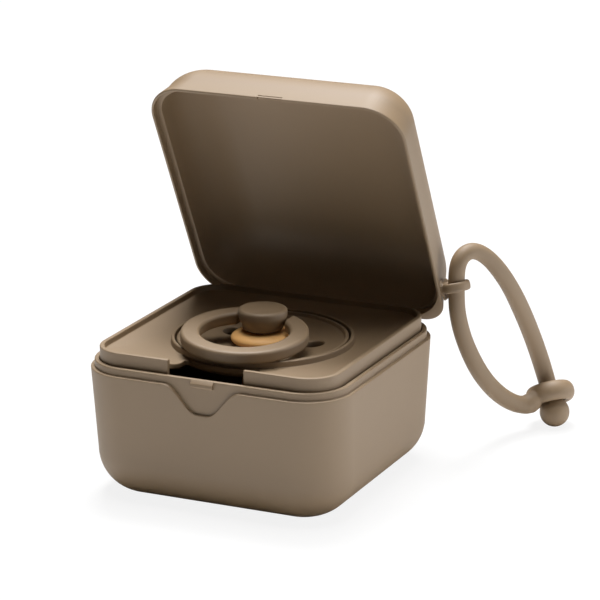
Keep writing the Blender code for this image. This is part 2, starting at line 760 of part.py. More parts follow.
# The ring's section: a rectangle with round corners, down its outer side first.
def ring_profile():
    half = RING_THICKNESS / 2
    quarter = math.tau / 4
    corners = (
        (RING_OUTER - RING_EDGE, half - RING_EDGE, quarter),
        (RING_OUTER - RING_EDGE, RING_EDGE - half, 0),
        (RING_INNER + RING_EDGE, RING_EDGE - half, -quarter),
        (RING_INNER + RING_EDGE, half - RING_EDGE, -2 * quarter),
    )
    profile = []
    for radius, height, start in corners:
        for step in range(RING_EDGE_STEPS + 1):
            angle = start - quarter * step / RING_EDGE_STEPS
            x = radius + RING_EDGE * math.cos(angle)
            profile.append((x, height + RING_EDGE * math.sin(angle)))
    return profile


# The ring lies on its parent, an empty on the hinge axis through its two pegs.
def build_ring(material, axis):
    ring = turned("pacifier_ring", ring_profile(), closed=True, steps=RING_TURN_STEPS)
    as_part(ring, material, axis)
    drop = RING_REACH * math.tan(RING_SLOPE)
    ring.location = (0, -RING_REACH, -drop)
    ring.rotation_euler = (RING_SLOPE, RING_LEAN, 0)

    half = RING_GAP / 2
    gap_low = (-half, 0, -RING_THICKNESS)
    gap_high = (half, RING_OUTER + OVERRUN, RING_THICKNESS)
    gap = box("ring_gap", gap_low, gap_high, cutters)
    boolean(ring, as_cutter(gap, ring), "DIFFERENCE")
    for side, name in ((-1, "peg_left"), (1, "peg_right")):
        ends = sorted((side * (half - PEG_REACH), side * (half + PEG_SUNK)))
        peg = rod(name, PEG_RADIUS, ends[0], ends[1], collection=cutters)
        boolean(ring, as_cutter(along_x(peg, (0, 0, 0)), axis), "UNION")
    return ring


def smooth_point(points, index, way):
    last = len(points) - 1
    a, b, c, d = (points[min(max(index + k, 0), last)] for k in (-1, 0, 1, 2))
    bend = (2 * a - 5 * b + 4 * c - d) * way**2 + (3 * b - a - 3 * c + d) * way**3
    return b + ((c - a) * way + bend) / 2


def strap_line():
    corner = Vector((BOX_HALF, BOX_HALF, 0))
    points = [corner + Vector(point) * MM for point in STRAP_ROUTE]
    line = []
    for index in range(len(points) - 1):
        for step in range(STRAP_POINTS_PER_SPAN):
            line.append(smooth_point(points, index, step / STRAP_POINTS_PER_SPAN))
    line.append(points[-1])
    return line


# The oval section of the eyelet, down its outer side first.
def eyelet_profile():
    profile = []
    for step in range(EYELET_SECTION_STEPS):
        angle = math.pi / 2 - math.tau * step / EYELET_SECTION_STEPS
        radius = EYELET_MIDDLE + EYELET_WALL / 2 * math.cos(angle)
        profile.append((radius, EYELET_HEIGHT / 2 * math.sin(angle)))
    return profile


def build_strap(material, hinge):
    line = strap_line()
    curve = bpy.data.curves.new("strap_cord", "CURVE")
    curve.dimensions = "3D"
    curve.bevel_depth = STRAP_DIAMETER / 2
    curve.bevel_resolution = 2
    curve.use_fill_caps = True
    spline = curve.splines.new("POLY")
    spline.points.add(len(line) - 1)
    for point, place in zip(spline.points, line):
        point.co = (*place, 1)
    curve.materials.append(material)
    cord = bpy.data.objects.new("strap_cord", curve)
    parts.objects.link(cord)

    tail = (line[-1] - line[-2]).normalized()
    eyelet = turned("strap_eyelet", eyelet_profile(), closed=True, steps=28)
    eyelet.rotation_euler = tail.to_track_quat("Z", "Y").to_euler()
    bm = bmesh.new()
    bmesh.ops.create_uvsphere(bm, u_segments=20, v_segments=12, radius=BALL_RADIUS)
    ball = new_object("strap_ball", bm)
    ball.location = line[-1] + tail * (BALL_RADIUS + GAP)
    eyelet.location = ball.location - tail * (BALL_RADIUS + EYELET_HEIGHT / 2 - BALL_IN_EYELET)
    for obj in (eyelet, ball):
        as_part(obj, material)
    bpy.context.view_layer.update()
    for obj in (cord, eyelet, ball):
        place = obj.matrix_world.copy()
        obj.parent = hinge
        obj.matrix_parent_inverse = hinge.matrix_world.inverted()
        obj.matrix_world = place


def build():
    global parts, cutters
    clear_scene()
    parts = new_collection("pacifier_box")
    cutters = new_collection("cutters")

    shell = new_material("taupe_plastic", (0.27, 0.205, 0.15), 0.5)
    steel = new_material("steel", (0.6, 0.6, 0.6), 0.3, 1.0)
    latex = new_material("natural_latex", (0.58, 0.30, 0.12), 0.35)
    silicone = new_material("taupe_silicone", (0.27, 0.205, 0.15), 0.6)

    build_base(shell)
    build_pin(steel)
    build_tray(shell)

    lid_hinge = axis_empty("lid_hinge_axis", (0, HINGE_Y, HINGE_Z))
    lid_hinge.rotation_euler = (-LID_OPEN, 0, 0)
    build_lid(shell, lid_hinge)
    bpy.context.view_layer.update()
    build_strap(silicone, lid_hinge)

    pacifier_axis = axis_empty("pacifier_axis", (0, 0, 0))
    build_shield(shell, pacifier_axis)
    build_teat(latex, pacifier_axis)
    build_knob(shell, pacifier_axis)
    ring_place = (0, RING_AXIS_BACK, RING_AXIS_Z)
    ring_axis = axis_empty("ring_hinge_axis", ring_place, pacifier_axis)
    build_ring(shell, ring_axis)


build()
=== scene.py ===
from math import asin, atan2, copysign, cos, pi, radians, sin, sqrt, tan, tau

import bmesh
import bpy
from mathutils import Euler, Matrix, Vector
from mathutils.geometry import delaunay_2d_cdt


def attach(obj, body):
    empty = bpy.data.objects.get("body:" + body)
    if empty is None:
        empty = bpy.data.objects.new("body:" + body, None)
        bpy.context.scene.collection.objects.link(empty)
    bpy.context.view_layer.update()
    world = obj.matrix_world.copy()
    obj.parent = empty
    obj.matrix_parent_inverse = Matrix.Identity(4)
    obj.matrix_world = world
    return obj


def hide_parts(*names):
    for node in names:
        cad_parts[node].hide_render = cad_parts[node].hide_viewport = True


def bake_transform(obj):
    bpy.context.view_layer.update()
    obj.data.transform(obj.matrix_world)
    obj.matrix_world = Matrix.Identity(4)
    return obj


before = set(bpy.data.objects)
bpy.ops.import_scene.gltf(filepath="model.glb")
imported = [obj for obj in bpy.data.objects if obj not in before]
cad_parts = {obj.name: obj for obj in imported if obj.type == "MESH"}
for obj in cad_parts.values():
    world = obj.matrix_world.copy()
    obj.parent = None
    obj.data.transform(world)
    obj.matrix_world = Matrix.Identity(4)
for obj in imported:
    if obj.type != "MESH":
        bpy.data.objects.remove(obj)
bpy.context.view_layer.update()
scene = bpy.context.scene
mm = 0.001


def addObject(name, data):
    thing = bpy.data.objects.new(name, data)
    scene.collection.objects.link(thing)
    return thing


# Camera and light

cameraView = {
    "turn": 25.097,  # degrees round the box from its front
    "tilt": 16.880,  # degrees above level
    "roll": -0.4315,
    "distance": 804.787 * mm,
    "aimRight": 9.459 * mm,
    "aimUp": 21.145 * mm,
    "aimHeight": 25.0 * mm,
    "focalPixels": 3110.27,
    "imagePixels": 600,
    "sensor": 36.0,
    "nearest": 0.05,
    "farthest": 20,
}


def placeCamera(view):
    turn, tilt, roll = (radians(view[key]) for key in ("turn", "tilt", "roll"))
    back = Vector((
        sin(turn) * cos(tilt), -cos(turn) * cos(tilt), sin(tilt),
    ))
    level = Vector((cos(turn), sin(turn), 0))
    rise = back.cross(level)
    right = cos(roll) * level + sin(roll) * rise
    up = cos(roll) * rise - sin(roll) * level
    place = back * view["distance"] + right * view["aimRight"] + up * view["aimUp"]
    place.z += view["aimHeight"]
    camera = addObject("camera", bpy.data.cameras.new("camera"))
    axes = Matrix((right, up, back)).transposed().to_4x4()
    camera.matrix_world = Matrix.Translation(place) @ axes
    camera.data.sensor_width = view["sensor"]
    camera.data.lens = view["focalPixels"] * view["sensor"] / view["imagePixels"]
    camera.data.clip_start = view["nearest"]
    camera.data.clip_end = view["farthest"]
    scene.camera = camera
    return right, up, back


# Where each lamp stands off the box, along the camera's right, up and back directions,
# its width and its watts
lamps = {
    "backLamp": ((0.000, 0.996, -0.089), 0.35, 11.94),
    "topLamp": ((0.000, 0.957, 0.290), 0.5, 6.73),
    "sideLamp": ((0.978, 0.199, 0.060), 0.5, 3.05),
    "rightLamp": ((0.375, 0.887, 0.269), 0.5, 1.18),
    "frontLamp": ((0.692, -0.002, 0.722), 0.5, 0.42),
    "rearLamp": ((0.542, 0.772, -0.332), 0.5, 0.38),
}
worldLight = 0.0
white = (1, 1, 1, 1)
aimPoint = Vector((0, 0, 40 * mm))


def placeLamps(right, up, back):
    for name, ((across, above, behind), width, watts) in lamps.items():
        area = bpy.data.lights.new(name, "AREA")
        area.energy = watts
        area.size = width
        holder = addObject(name, area)
        away = right * across + up * above + back * behind
        holder.location = aimPoint + away
        holder.rotation_euler = away.to_track_quat("Z", "Y").to_euler()


def addNode(tree, kind, **values):
    node = tree.nodes.new(kind)
    for name, value in values.items():
        node.inputs[name].default_value = value
    return node


def link(tree, *links):
    for start, output, end, entry in links:
        tree.links.new(start.outputs[output], end.inputs[entry])


# The world lights nothing, and is white where the camera sees it.
def lightWorld():
    world = bpy.data.worlds.new("studio")
    scene.world = world
    world.use_nodes = True
    tree = world.node_tree
    tree.nodes.clear()
    output = addNode(tree, "ShaderNodeOutputWorld")
    mix = addNode(tree, "ShaderNodeMixShader")
    lightPath = addNode(tree, "ShaderNodeLightPath")
    soft = addNode(tree, "ShaderNodeBackground", Strength=worldLight)
    backdrop = addNode(tree, "ShaderNodeBackground", Color=white, Strength=1.0)
    link(
        tree, (lightPath, "Is Camera Ray", mix, "Fac"), (soft, 0, mix, 1),
        (backdrop, 0, mix, 2), (mix, 0, output, "Surface"),
    )


scene.view_settings.view_transform = "Standard"
cameraAxes = placeCamera(cameraView)
placeLamps(*cameraAxes)
lightWorld()
print("camera and light are placed")


# Materials

plasticLook = {
    "color": (0.218, 0.142, 0.071),
    "roughness": 0.62,
    "specular": 1.0,
    "grainSize": 2600.0,
    "grainDepth": 0.012 * mm,
    "cloudSize": 35.0,
    "cloudShare": 0.06,
}
cloudDetail = 3.0
grainDetail = 2.0
grainStrength = 0.35


def newMaterial(name):
    material = bpy.data.materials.new(name)
    material.use_nodes = True
    return material, material.node_tree, material.node_tree.nodes["Principled BSDF"]


# Moulded plastic or rubber: slight clouds in its colour and a fine grain in its surface.
def mouldedMaterial(name, look):
    material, tree, shader = newMaterial(name)
    place = addNode(tree, "ShaderNodeTexCoord")
    cloud = addNode(tree, "ShaderNodeTexNoise", Scale=look["cloudSize"], Detail=cloudDetail)
    grain = addNode(tree, "ShaderNodeTexNoise", Scale=look["grainSize"], Detail=grainDetail)
    bump = addNode(tree, "ShaderNodeBump", Strength=grainStrength, Distance=look["grainDepth"])
    tint = addNode(tree, "ShaderNodeMix")
    tint.data_type = "RGBA"
    for entry, side in (("A", -1), ("B", 1)):
        color = (part * (1 + side * look["cloudShare"]) for part in look["color"])
        tint.inputs[entry].default_value = (*color, 1)
    link(
        tree, (place, "Object", cloud, "Vector"), (place, "Object", grain, "Vector"),
        (cloud, "Fac", tint, "Factor"), (tint, "Result", shader, "Base Color"),
        (grain, "Fac", bump, "Height"), (bump, "Normal", shader, "Normal"),
    )
    shader.inputs["Roughness"].default_value = look["roughness"]
    shader.inputs["Specular IOR Level"].default_value = look["specular"]
    shader.inputs["Metallic"].default_value = look.get("metallic", 0.0)
    return material


strapLook = {**plasticLook, "roughness": 0.66}
latexLook = {
    "color": (0.95, 0.53, 0.19),
    "roughness": 0.5,
    "specular": 0.4,
    "grainSize": 900.0,
    "grainDepth": 0.01 * mm,
    "cloudSize": 120.0,
    "cloudShare": 0.08,
}
steelLook = {
    "color": (0.6, 0.6, 0.6),
    "roughness": 0.3,
    "specular": 0.5,
    "grainSize": 1500.0,
    "grainDepth": 0.005 * mm,
    "cloudSize": 200.0,
    "cloudShare": 0.04,
    "metallic": 1.0,
}

slotMaterials = {
    "shell_plastic": mouldedMaterial("shellPlastic", plasticLook),
    "pacifier_plastic": mouldedMaterial("pacifierPlastic", plasticLook),
    "strap_silicone": mouldedMaterial("strapSilicone", strapLook),
    "teat_latex": mouldedMaterial("teatLatex", latexLook),
    "pin_steel": mouldedMaterial("pinSteel", steelLook),
}


# Shared shapes

quarterTurn = tau / 4
cornerSteps = 18
arcSteps = 5
supportGap = 0.12 * mm
supportRoom = 2.5
weldGap = 0.0005 * mm
nearGap = 4 * weldGap
straightAngle = radians(176)
sharpAngle = radians(38)
fineEdge = 0.1 * mm
pinEdge = 0.15 * mm
softEdge = 0.2 * mm
edgeRound = 0.3 * mm
overrun = 2 * mm
bevelSteps = 4
rodSteps = 48


# Stores what was built in a mesh, smooth but for its sharp edges.
def store(bm, mesh):
    for face in bm.faces:
        face.smooth = True
    bm.to_mesh(mesh)
    bm.free()
    mesh.set_sharp_from_angle(angle=sharpAngle)


def finish(name, bm, place=None):
    bmesh.ops.remove_doubles(bm, verts=bm.verts, dist=weldGap)
    bmesh.ops.recalc_face_normals(bm, faces=bm.faces)
    if place is not None:
        bmesh.ops.transform(bm, matrix=place, verts=bm.verts)
    mesh = bpy.data.meshes.new(name)
    store(bm, mesh)
    return addObject(name, mesh)


def shares(count):
    return [step / count for step in range(count + 1)]


# Rounds the bends of a section. A point is half width, corner radius, height and edge radius.
def roundedSection(points, closed=False, steps=arcSteps):
    rows = []
    count = len(points)
    for index, (half, corner, height, edge) in enumerate(points):
        if edge == 0 or (not closed and index in (0, count - 1)):
            rows.append((half, corner, height))
            continue
        before, after = points[index - 1], points[(index + 1) % count]
        bend = Vector((half, height))
        back = Vector((before[0], before[2])) - bend
        onward = Vector((after[0], after[2])) - bend
        opening = back.angle(onward)
        if opening > straightAngle:
            rows.append((half, corner, height))
            continue
        reach = edge / tan(opening / 2)
        toMiddle = (back.normalized() + onward.normalized()).normalized()
        toMiddle *= edge / sin(opening / 2)
        first = back.normalized() * reach - toMiddle
        last = onward.normalized() * reach - toMiddle
        turn = pi - opening
        for side, way in ((before, back), (after, onward)):
            if side is after:
                for share in shares(steps):
                    spoke = first * sin((1 - share) * turn) + last * sin(share * turn)
                    spot = bend + toMiddle + spoke / sin(turn)
                    other, length = (before, back.length) if share < 0.5 else (after, onward.length)
                    blend = abs(1 - 2 * share) * min(reach / length, 1)
                    rows.append((spot.x, corner + (other[1] - corner) * blend, spot.y))
            if way.length > supportRoom * (reach + supportGap):
                spot = bend + way.normalized() * (reach + supportGap)
                share = (reach + supportGap) / way.length
                rows.append((spot.x, corner + (side[1] - corner) * share, spot.y))
    return rows


# Points round a square with round corners, with extra columns along its front side and,
# where it is given, another radius for the corner at the back right.
def squareRing(half, corner, height, columns=(), backRight=None):
    points = []
    for quarter in range(4):
        turn = Matrix.Rotation(quarterTurn * quarter, 3, "Z")
        bend = corner if backRight is None or quarter else backRight
        straight = half - bend
        for share in shares(cornerSteps):
            angle = quarterTurn * share
            across = straight + bend * cos(angle)
            points.append(turn @ Vector((across, straight + bend * sin(angle), height)))
        if quarter == 2:
            points += [Vector((x, -half, height)) for x in columns]
    return points


# A skin over rings of points, with its two ends filled or joined to each other.
def skinShape(name, rings, closed=False, place=None):
    bm = bmesh.new()
    rings = [[bm.verts.new(point) for point in ring] for ring in rings]
    pairs = list(zip(rings, rings[1:]))
    if closed:
        pairs.append((rings[-1], rings[0]))
    else:
        bm.faces.new(rings[0])
        bm.faces.new(rings[-1])
    for lower, upper in pairs:
        for i in range(len(lower)):
            j = (i + 1) % len(lower)
            bm.faces.new((lower[i], lower[j], upper[j], upper[i]))
    return finish(name, bm, place)


def turnFaces(bm, rows, steps, closed=False):
    rings = []
    for step in range(steps):
        angle = tau * step / steps
        ring = []
        for radius, _, height in rows:
            spot = (radius * cos(angle), radius * sin(angle), height)
            ring.append(bm.verts.new(spot))
        rings.append(ring)
    count = len(rows)
    for index, here in enumerate(rings):
        there = rings[(index + 1) % steps]
        for low in range(count if closed else count - 1):
            high = (low + 1) % count
            bm.faces.new((here[low], there[low], there[high], here[high]))


# A turned shape about Z. An open profile starts and ends on the axis.
def turnedShape(name, rows, steps, closed=False, place=None):
    bm = bmesh.new()
    turnFaces(bm, rows, steps, closed)
    bmesh.ops.remove_doubles(bm, verts=bm.verts, dist=weldGap)
    bmesh.ops.dissolve_degenerate(bm, edges=bm.edges, dist=weldGap)
    return finish(name, bm, place)


def roundedRod(name, radius, low, high, edge, place):
    profile = [(0, 0, low, 0), (radius, 0, low, edge), (radius, 0, high, edge), (0, 0, high, 0)]
    return turnedShape(name, roundedSection(profile), rodSteps, place=place)


def alongX(x, y, z):
    return Matrix.Translation((x, y, z)) @ Matrix.Rotation(quarterTurn, 4, "Y")


# A prism from a flat outline, with all its edges rounded where an edge radius is given.
def prismShape(name, outline, along, edge=0):
    bm = bmesh.new()
    face = bm.faces.new([bm.verts.new(point) for point in outline])
    made = bmesh.ops.extrude_face_region(bm, geom=[face])
    moved = [item for item in made["geom"] if isinstance(item, bmesh.types.BMVert)]
    bmesh.ops.translate(bm, vec=along, verts=moved)
    if edge:
        bmesh.ops.bevel(
            bm, geom=list(bm.edges), offset=edge, offset_type="OFFSET",
            segments=bevelSteps, profile=0.5, affect="EDGES", clamp_overlap=True,
        )
    return finish(name, bm)


# A prism along X from a profile of points that each give y and z.
def crossPrism(name, low, high, profile, edge=0):
    return prismShape(name, [(low, y, z) for y, z in profile], (high - low, 0, 0), edge)


def blockShape(name, low, high):
    x, y, z = low
    outline = [(x, y, z), (high[0], y, z), (high[0], high[1], z), (x, high[1], z)]
    return prismShape(name, outline, (0, 0, high[2] - z))


def bake(piece):
    graph = bpy.context.evaluated_depsgraph_get()
    mesh = bpy.data.meshes.new_from_object(piece.evaluated_get(graph))
    piece.modifiers.clear()
    old = piece.data
    piece.data = mesh
    mesh.name = piece.name
    bpy.data.meshes.remove(old)


def carve(piece, cutter):
    modifier = piece.modifiers.new("carve", "BOOLEAN")
    modifier.object = cutter
    modifier.operation = "DIFFERENCE"
    modifier.solver = "EXACT"
    bake(piece)
    piece.data.set_sharp_from_angle(angle=sharpAngle)
    bpy.data.objects.remove(cutter)


def gather(piece, others):
    bm = bmesh.new()
    for item in [piece] + others:
        bm.from_mesh(item.data)
    for item in others:
        bpy.data.objects.remove(item)
    store(bm, piece.data)


# Fuses what a piece is gathered from into one skin, and softens where they meet.
def fuse(piece, voxel, rounds):
    remesh = piece.modifiers.new("fuse", "REMESH")
    remesh.mode = "VOXEL"
    remesh.voxel_size = voxel
    soften = piece.modifiers.new("soften", "SMOOTH")
    soften.factor = 0.5
    soften.iterations = rounds
    bake(piece)


# Sections of a quarter-round edge, from its narrow end out to the full half width.
def filletRows(half, corner, narrowCorner, radius, height, upward, steps=22):
    rows = []
    for way in shares(steps):
        angle = quarterTurn * way
        share = sin(angle)
        rise = radius * (1 - cos(angle)) * upward
        width = half - radius * (1 - share)
        rows.append((width, narrowCorner + (corner - narrowCorner) * share, height + rise, 0))
    return rows


# Places that several pieces share
hingeY = 37.1 * mm
hingeZ = 33.5 * mm
rimBelow = 0.6 * mm
boxHalf = 36.0 * mm
knuckle = {
    "radius": 2.1 * mm,
    "half": 7.0 * mm,
    "lidSpans": ((-17.5 * mm, -7.5 * mm), (7.5 * mm, 17.5 * mm)),
    "room": 0.35 * mm,
    "gap": 0.3 * mm,
    "edge": 0.25 * mm,
    "pinRadius": 0.75 * mm,
    "armInset": 0.25 * mm,
    "armFront": 0.5 * mm,
    "armBack": 1.3 * mm,
    "armFoot": 0.15 * mm,
    "armHead": 2.6 * mm,
}


# Lower box

base = {
    "corner": 12.6 * mm,
    "draft": 0.8 * mm,
    "wall": 2.2 * mm,
    "stepHeight": 33.9 * mm,
    "footFillet": 11.7 * mm,
    "footCorner": 1.9 * mm,
    "bandInset": 1.0 * mm,
    "bandTop": 35.9 * mm,
    "bandWall": 1.25 * mm,
    "shelfTop": 30.7 * mm,
    "shelfWidth": 1.3 * mm,
    "shelfThickness": 1.2 * mm,
    "crease": 0.12 * mm,
    "waveDrop": 7.0 * mm,
    "waveHalf": 10.4 * mm,
    "waveFlat": 1.3 * mm,
    "waveColumns": 96,
    "waveReach": 1.02,
    "waveBelow": 0.5 * mm,
    "waveAbove": 0.3 * mm,
}
catch = {
    "half": 3.1 * mm,
    "foot": 33.9 * mm,
    "crest": 34.25 * mm,
    "shoulder": 35.0 * mm,
    "top": 35.85 * mm,
    "footProud": 0.5 * mm,
    "proud": 0.83 * mm,
    "shoulderProud": 0.74 * mm,
    "topProud": -0.12 * mm,
    "room": 0.05 * mm,
    "web": 0.8 * mm,
    "edge": 0.15 * mm,
}


def waveAt(x):
    way = max(abs(x) - base["waveFlat"], 0) / (base["waveHalf"] - base["waveFlat"])
    return base["waveDrop"] * (1 + cos(pi * min(way, 1))) / 2


def makeBase():
    bandHalf = boxHalf - base["bandInset"]
    bandCorner = base["corner"] - base["bandInset"]
    bandInner = bandHalf - base["bandWall"]
    innerCorner = bandCorner - base["bandWall"]
    footHalf = boxHalf - base["draft"]
    footCorner = base["footCorner"] + base["footFillet"]
    step, top, shelf = base["stepHeight"], base["bandTop"], base["shelfTop"]
    lowShelf = shelf - base["shelfThickness"]
    shelfInner = bandInner - base["shelfWidth"]
    shelfCorner = innerCorner - base["shelfWidth"]
    wall = base["wall"]
    section = filletRows(footHalf, footCorner, base["footCorner"], base["footFillet"], 0, 1)
    section += [
        (boxHalf, base["corner"], step, edgeRound),
        (bandHalf, bandCorner, step, base["crease"]),
        (bandHalf, bandCorner, top, edgeRound),
        (bandInner, innerCorner, top, edgeRound),
        (bandInner, innerCorner, shelf, base["crease"]),
        (shelfInner, shelfCorner, shelf, base["crease"]),
        (shelfInner, shelfCorner, lowShelf, 0),
        (
            bandInner - base["shelfThickness"] / 2, footCorner - wall,
            lowShelf - base["shelfWidth"], 0,
        ),
    ]
    section += filletRows(
        footHalf - wall, footCorner - wall, base["footCorner"], base["footFillet"] - wall,
        wall, 1,
    )[::-1]
    slope = base["draft"] / (step - base["footFillet"])
    columns = []
    for index in range(base["waveColumns"] + 1):
        share = 2 * index / base["waveColumns"] - 1
        columns.append(base["waveHalf"] * base["waveReach"] * share)
    rings = []
    for half, corner, height in roundedSection(section):
        ring = squareRing(half, corner, height, columns)
        nearStep = -base["waveBelow"] < height - step < base["waveAbove"]
        if nearStep and half > bandHalf - weldGap:
            share = (half - bandHalf) / base["bandInset"]
            for point in ring:
                if point.y < -bandHalf + mm:
                    drop = waveAt(point.x)
                    point.z -= drop
                    point.y += drop * slope * share
        rings.append(ring)
    shell = skinShape("boxBase", rings)

    axis = alongX(0, hingeY, hingeZ)
    reach, room = knuckle["radius"] + knuckle["gap"], knuckle["room"]
    for low, high in knuckle["lidSpans"]:
        carve(shell, roundedRod("room", reach, low - room, high + room, edgeRound, axis))
    half = knuckle["half"]
    knot = roundedRod("baseKnuckle", knuckle["radius"], -half, half, knuckle["edge"], axis)
    low, high = hingeZ - knuckle["radius"], hingeZ
    inset = knuckle["armInset"]
    gusset = crossPrism(
        "gusset", inset - half, half - inset,
        [(bandHalf - inset, low), (hingeY, low), (hingeY, high), (bandHalf - inset, high)],
        fineEdge,
    )
    back, front = catch["web"] - bandHalf, -bandHalf
    bump = crossPrism(
        "catchBump", -catch["half"], catch["half"],
        [
            (back, catch["foot"]),
            (front - catch["footProud"], catch["foot"]),
            (front - catch["proud"], catch["crest"]),
            (front - catch["shoulderProud"], catch["shoulder"]),
            (front - catch["topProud"], catch["top"]),
            (back, catch["top"]),
        ],
        catch["edge"],
    )
    gather(shell, [knot, gusset, bump])
    return shell


# Lid, modelled closed on its rim plane and then opened about the hinge

lid = {
    "open": radians(63.3),
    "height": 18.5 * mm,
    "corner": 10.4 * mm,
    "draft": 1.1 * mm,
    "wall": 2.2 * mm,
    "innerDraft": 0.3 * mm,
    "crown": 13.2 * mm,
    "topCorner": 2.1 * mm,
    "innerCorner": 8.6 * mm,
    "lipWidth": 0.85 * mm,
    "lipHeight": 1.95 * mm,
    "seam": 0.2 * mm,
    "rimEdge": 0.2 * mm,
    "rimRound": 0.4 * mm,
    "fullCorner": 6.8 * mm,
    "fullCornerInner": 11.5 * mm,
    "fullHeight": 9.0 * mm,
}
lug = {
    "out": 3.2 * mm,
    "fromBack": 10.8 * mm,
    "aboveRim": 3.05 * mm,
    "tilt": radians(33.0),
    "rise": radians(15.0),
    "thickness": 2.6 * mm,
    "hole": 2.7 * mm,
    "wall": 1.2 * mm,
    "steps": 32,
    "ringSteps": 72,
    "squareness": 0.8,
    "sunk": 0.4 * mm,
    "inset": 0.6 * mm,
    # Way out from the lid's side and the root's radius there
    "flare": (
        (0.0, 3.3), (0.4, 3.0), (0.9, 2.5), (1.4, 2.15), (2.2, 1.85), (3.2, 1.6), (4.2, 1.35),
    ),
    "breadth": 1.45,
    "voxel": 0.17 * mm,
    "softenRounds": 5,
    "cutterReach": 3,
}


def openLid():
    turn = Matrix.Rotation(-lid["open"], 4, "X")
    toAxis = Matrix.Translation((0, -hingeY, rimBelow))
    return Matrix.Translation((0, hingeY, hingeZ)) @ turn @ toAxis


def makeLug():
    outer = lug["hole"] + lug["wall"]
    half = lug["thickness"] / 2
    centre = (boxHalf + lug["out"], boxHalf - lug["fromBack"], lug["aboveRim"])
    turn = Matrix.Translation(centre) @ Matrix.Rotation(quarterTurn - lug["tilt"], 4, "X")
    turn @= Matrix.Rotation(-lug["rise"], 4, "Y")
    section = []
    for step in range(lug["steps"]):
        angle = tau * step / lug["steps"]
        across, rise = (
            copysign(abs(part) ** lug["squareness"], part)
            for part in (cos(angle), sin(angle))
        )
        section.append((lug["hole"] + lug["wall"] * (1 + across) / 2, 0, half * rise))
    ring = turnedShape("lug", section, lug["ringSteps"], closed=True, place=turn)
    rows = [(0, 0, 0)]
    for along, radius in lug["flare"]:
        rows.append((radius * mm, 0, along * mm))
    rows.append((0, 0, rows[-1][2]))
    inward = (lug["out"] + lug["sunk"]) / cos(lug["rise"])
    wide = Matrix.Diagonal((1, lug["breadth"], 1, 1))
    place = turn @ alongX(-inward, 0, 0) @ wide
    root = turnedShape("lugRoot", rows, rodSteps, place=place)
    reach = lug["cutterReach"] * outer
    x, y, z = centre[0] - reach, centre[1] - reach, -reach
    carve(root, blockShape("belowRim", (x, y, z), (x + 2 * reach, y + 2 * reach, edgeRound)))
    for part in (ring, root):
        inside = (boxHalf - lug["inset"], y + 2 * reach, 2 * reach)
        carve(part, blockShape("insideLid", (x, y, z), inside))
    hole = lug["hole"] + lug["wall"] / 2
    carve(root, roundedRod("lugHole", hole, -outer, outer, fineEdge, turn))
    gather(ring, [root])
    fuse(ring, lug["voxel"], lug["softenRounds"])
    return ring


def makeLid():
    crownHalf = boxHalf - lid["draft"]
    lipHalf = boxHalf - lid["lipWidth"]
    innerHalf = boxHalf - lid["wall"]
    section = filletRows(
        crownHalf, lid["corner"], lid["topCorner"], lid["crown"], lid["height"], -1,
    )
    section += [
        (boxHalf, lid["corner"], 0, lid["rimRound"]),
        (lipHalf, lid["corner"] - lid["lipWidth"], 0, lid["rimEdge"]),
        (lipHalf, lid["corner"] - lid["lipWidth"], lid["lipHeight"], fineEdge),
        (innerHalf, lid["innerCorner"], lid["lipHeight"], lid["rimEdge"]),
    ]
    section += filletRows(
        innerHalf - lid["innerDraft"], lid["innerCorner"], lid["topCorner"],
        lid["crown"] - lid["wall"], lid["height"] - lid["wall"], -1,
    )[::-1]
    # The corner at the back right is fuller: outside near the rim, and inside on the ledge.
    rings = []
    outside = True
    for half, corner, height in roundedSection(section):
        if height < lid["rimRound"] and half < boxHalf - lid["rimRound"] - weldGap:
            outside = False
        if outside:
            share = max(1 - height / lid["fullHeight"], 0)
            full = corner + (lid["fullCorner"] - corner) * share * share * (3 - 2 * share)
        elif half > innerHalf + weldGap:
            share = (half - innerHalf) / (lipHalf - innerHalf)
            full = corner + (lid["fullCornerInner"] - corner) * min(share, 1)
        else:
            full = corner
        rings.append(squareRing(half, corner, height, (), full))
    shell = skinShape("boxLid", rings)

    rim = base["stepHeight"] + lid["seam"]
    gap = knuckle["gap"]
    half = catch["half"] + gap
    back, front = catch["web"] - boxHalf + base["bandInset"], base["bandInset"] - boxHalf
    low, high = -edgeRound, catch["top"] + gap - rim
    proud, shoulderProud = catch["proud"] + catch["room"], catch["shoulderProud"] + catch["room"]
    pocket = crossPrism(
        "catchPocket", -half, half,
        [
            (back, low),
            (front - proud, low),
            (front - proud, catch["crest"] + gap - rim),
            (front - shoulderProud, catch["shoulder"] + gap - rim),
            (front - catch["topProud"] - gap, high),
            (back, high),
        ],
    )
    carve(shell, pocket)
    axis = alongX(0, hingeY, -rimBelow)
    reach = knuckle["half"] + knuckle["room"]
    carve(shell, roundedRod("baseRoom", knuckle["radius"] + gap, -reach, reach, fineEdge, axis))
    inset = knuckle["armInset"]
    front, back = boxHalf - knuckle["armFront"], hingeY + knuckle["armBack"]
    foot, head = knuckle["armFoot"], knuckle["armHead"]
    profile = [(front, foot), (back, foot), (back, head), (front, head)]
    extras = []
    for low, high in knuckle["lidSpans"]:
        extras.append(crossPrism("lidArm", low + inset, high - inset, profile, edgeRound))
        extras.append(roundedRod("lidKnuckle", knuckle["radius"], low, high, knuckle["edge"], axis))
    extras.append(makeLug())
    gather(shell, extras)
    shell.data.transform(openLid())
    return shell


# Tray insert

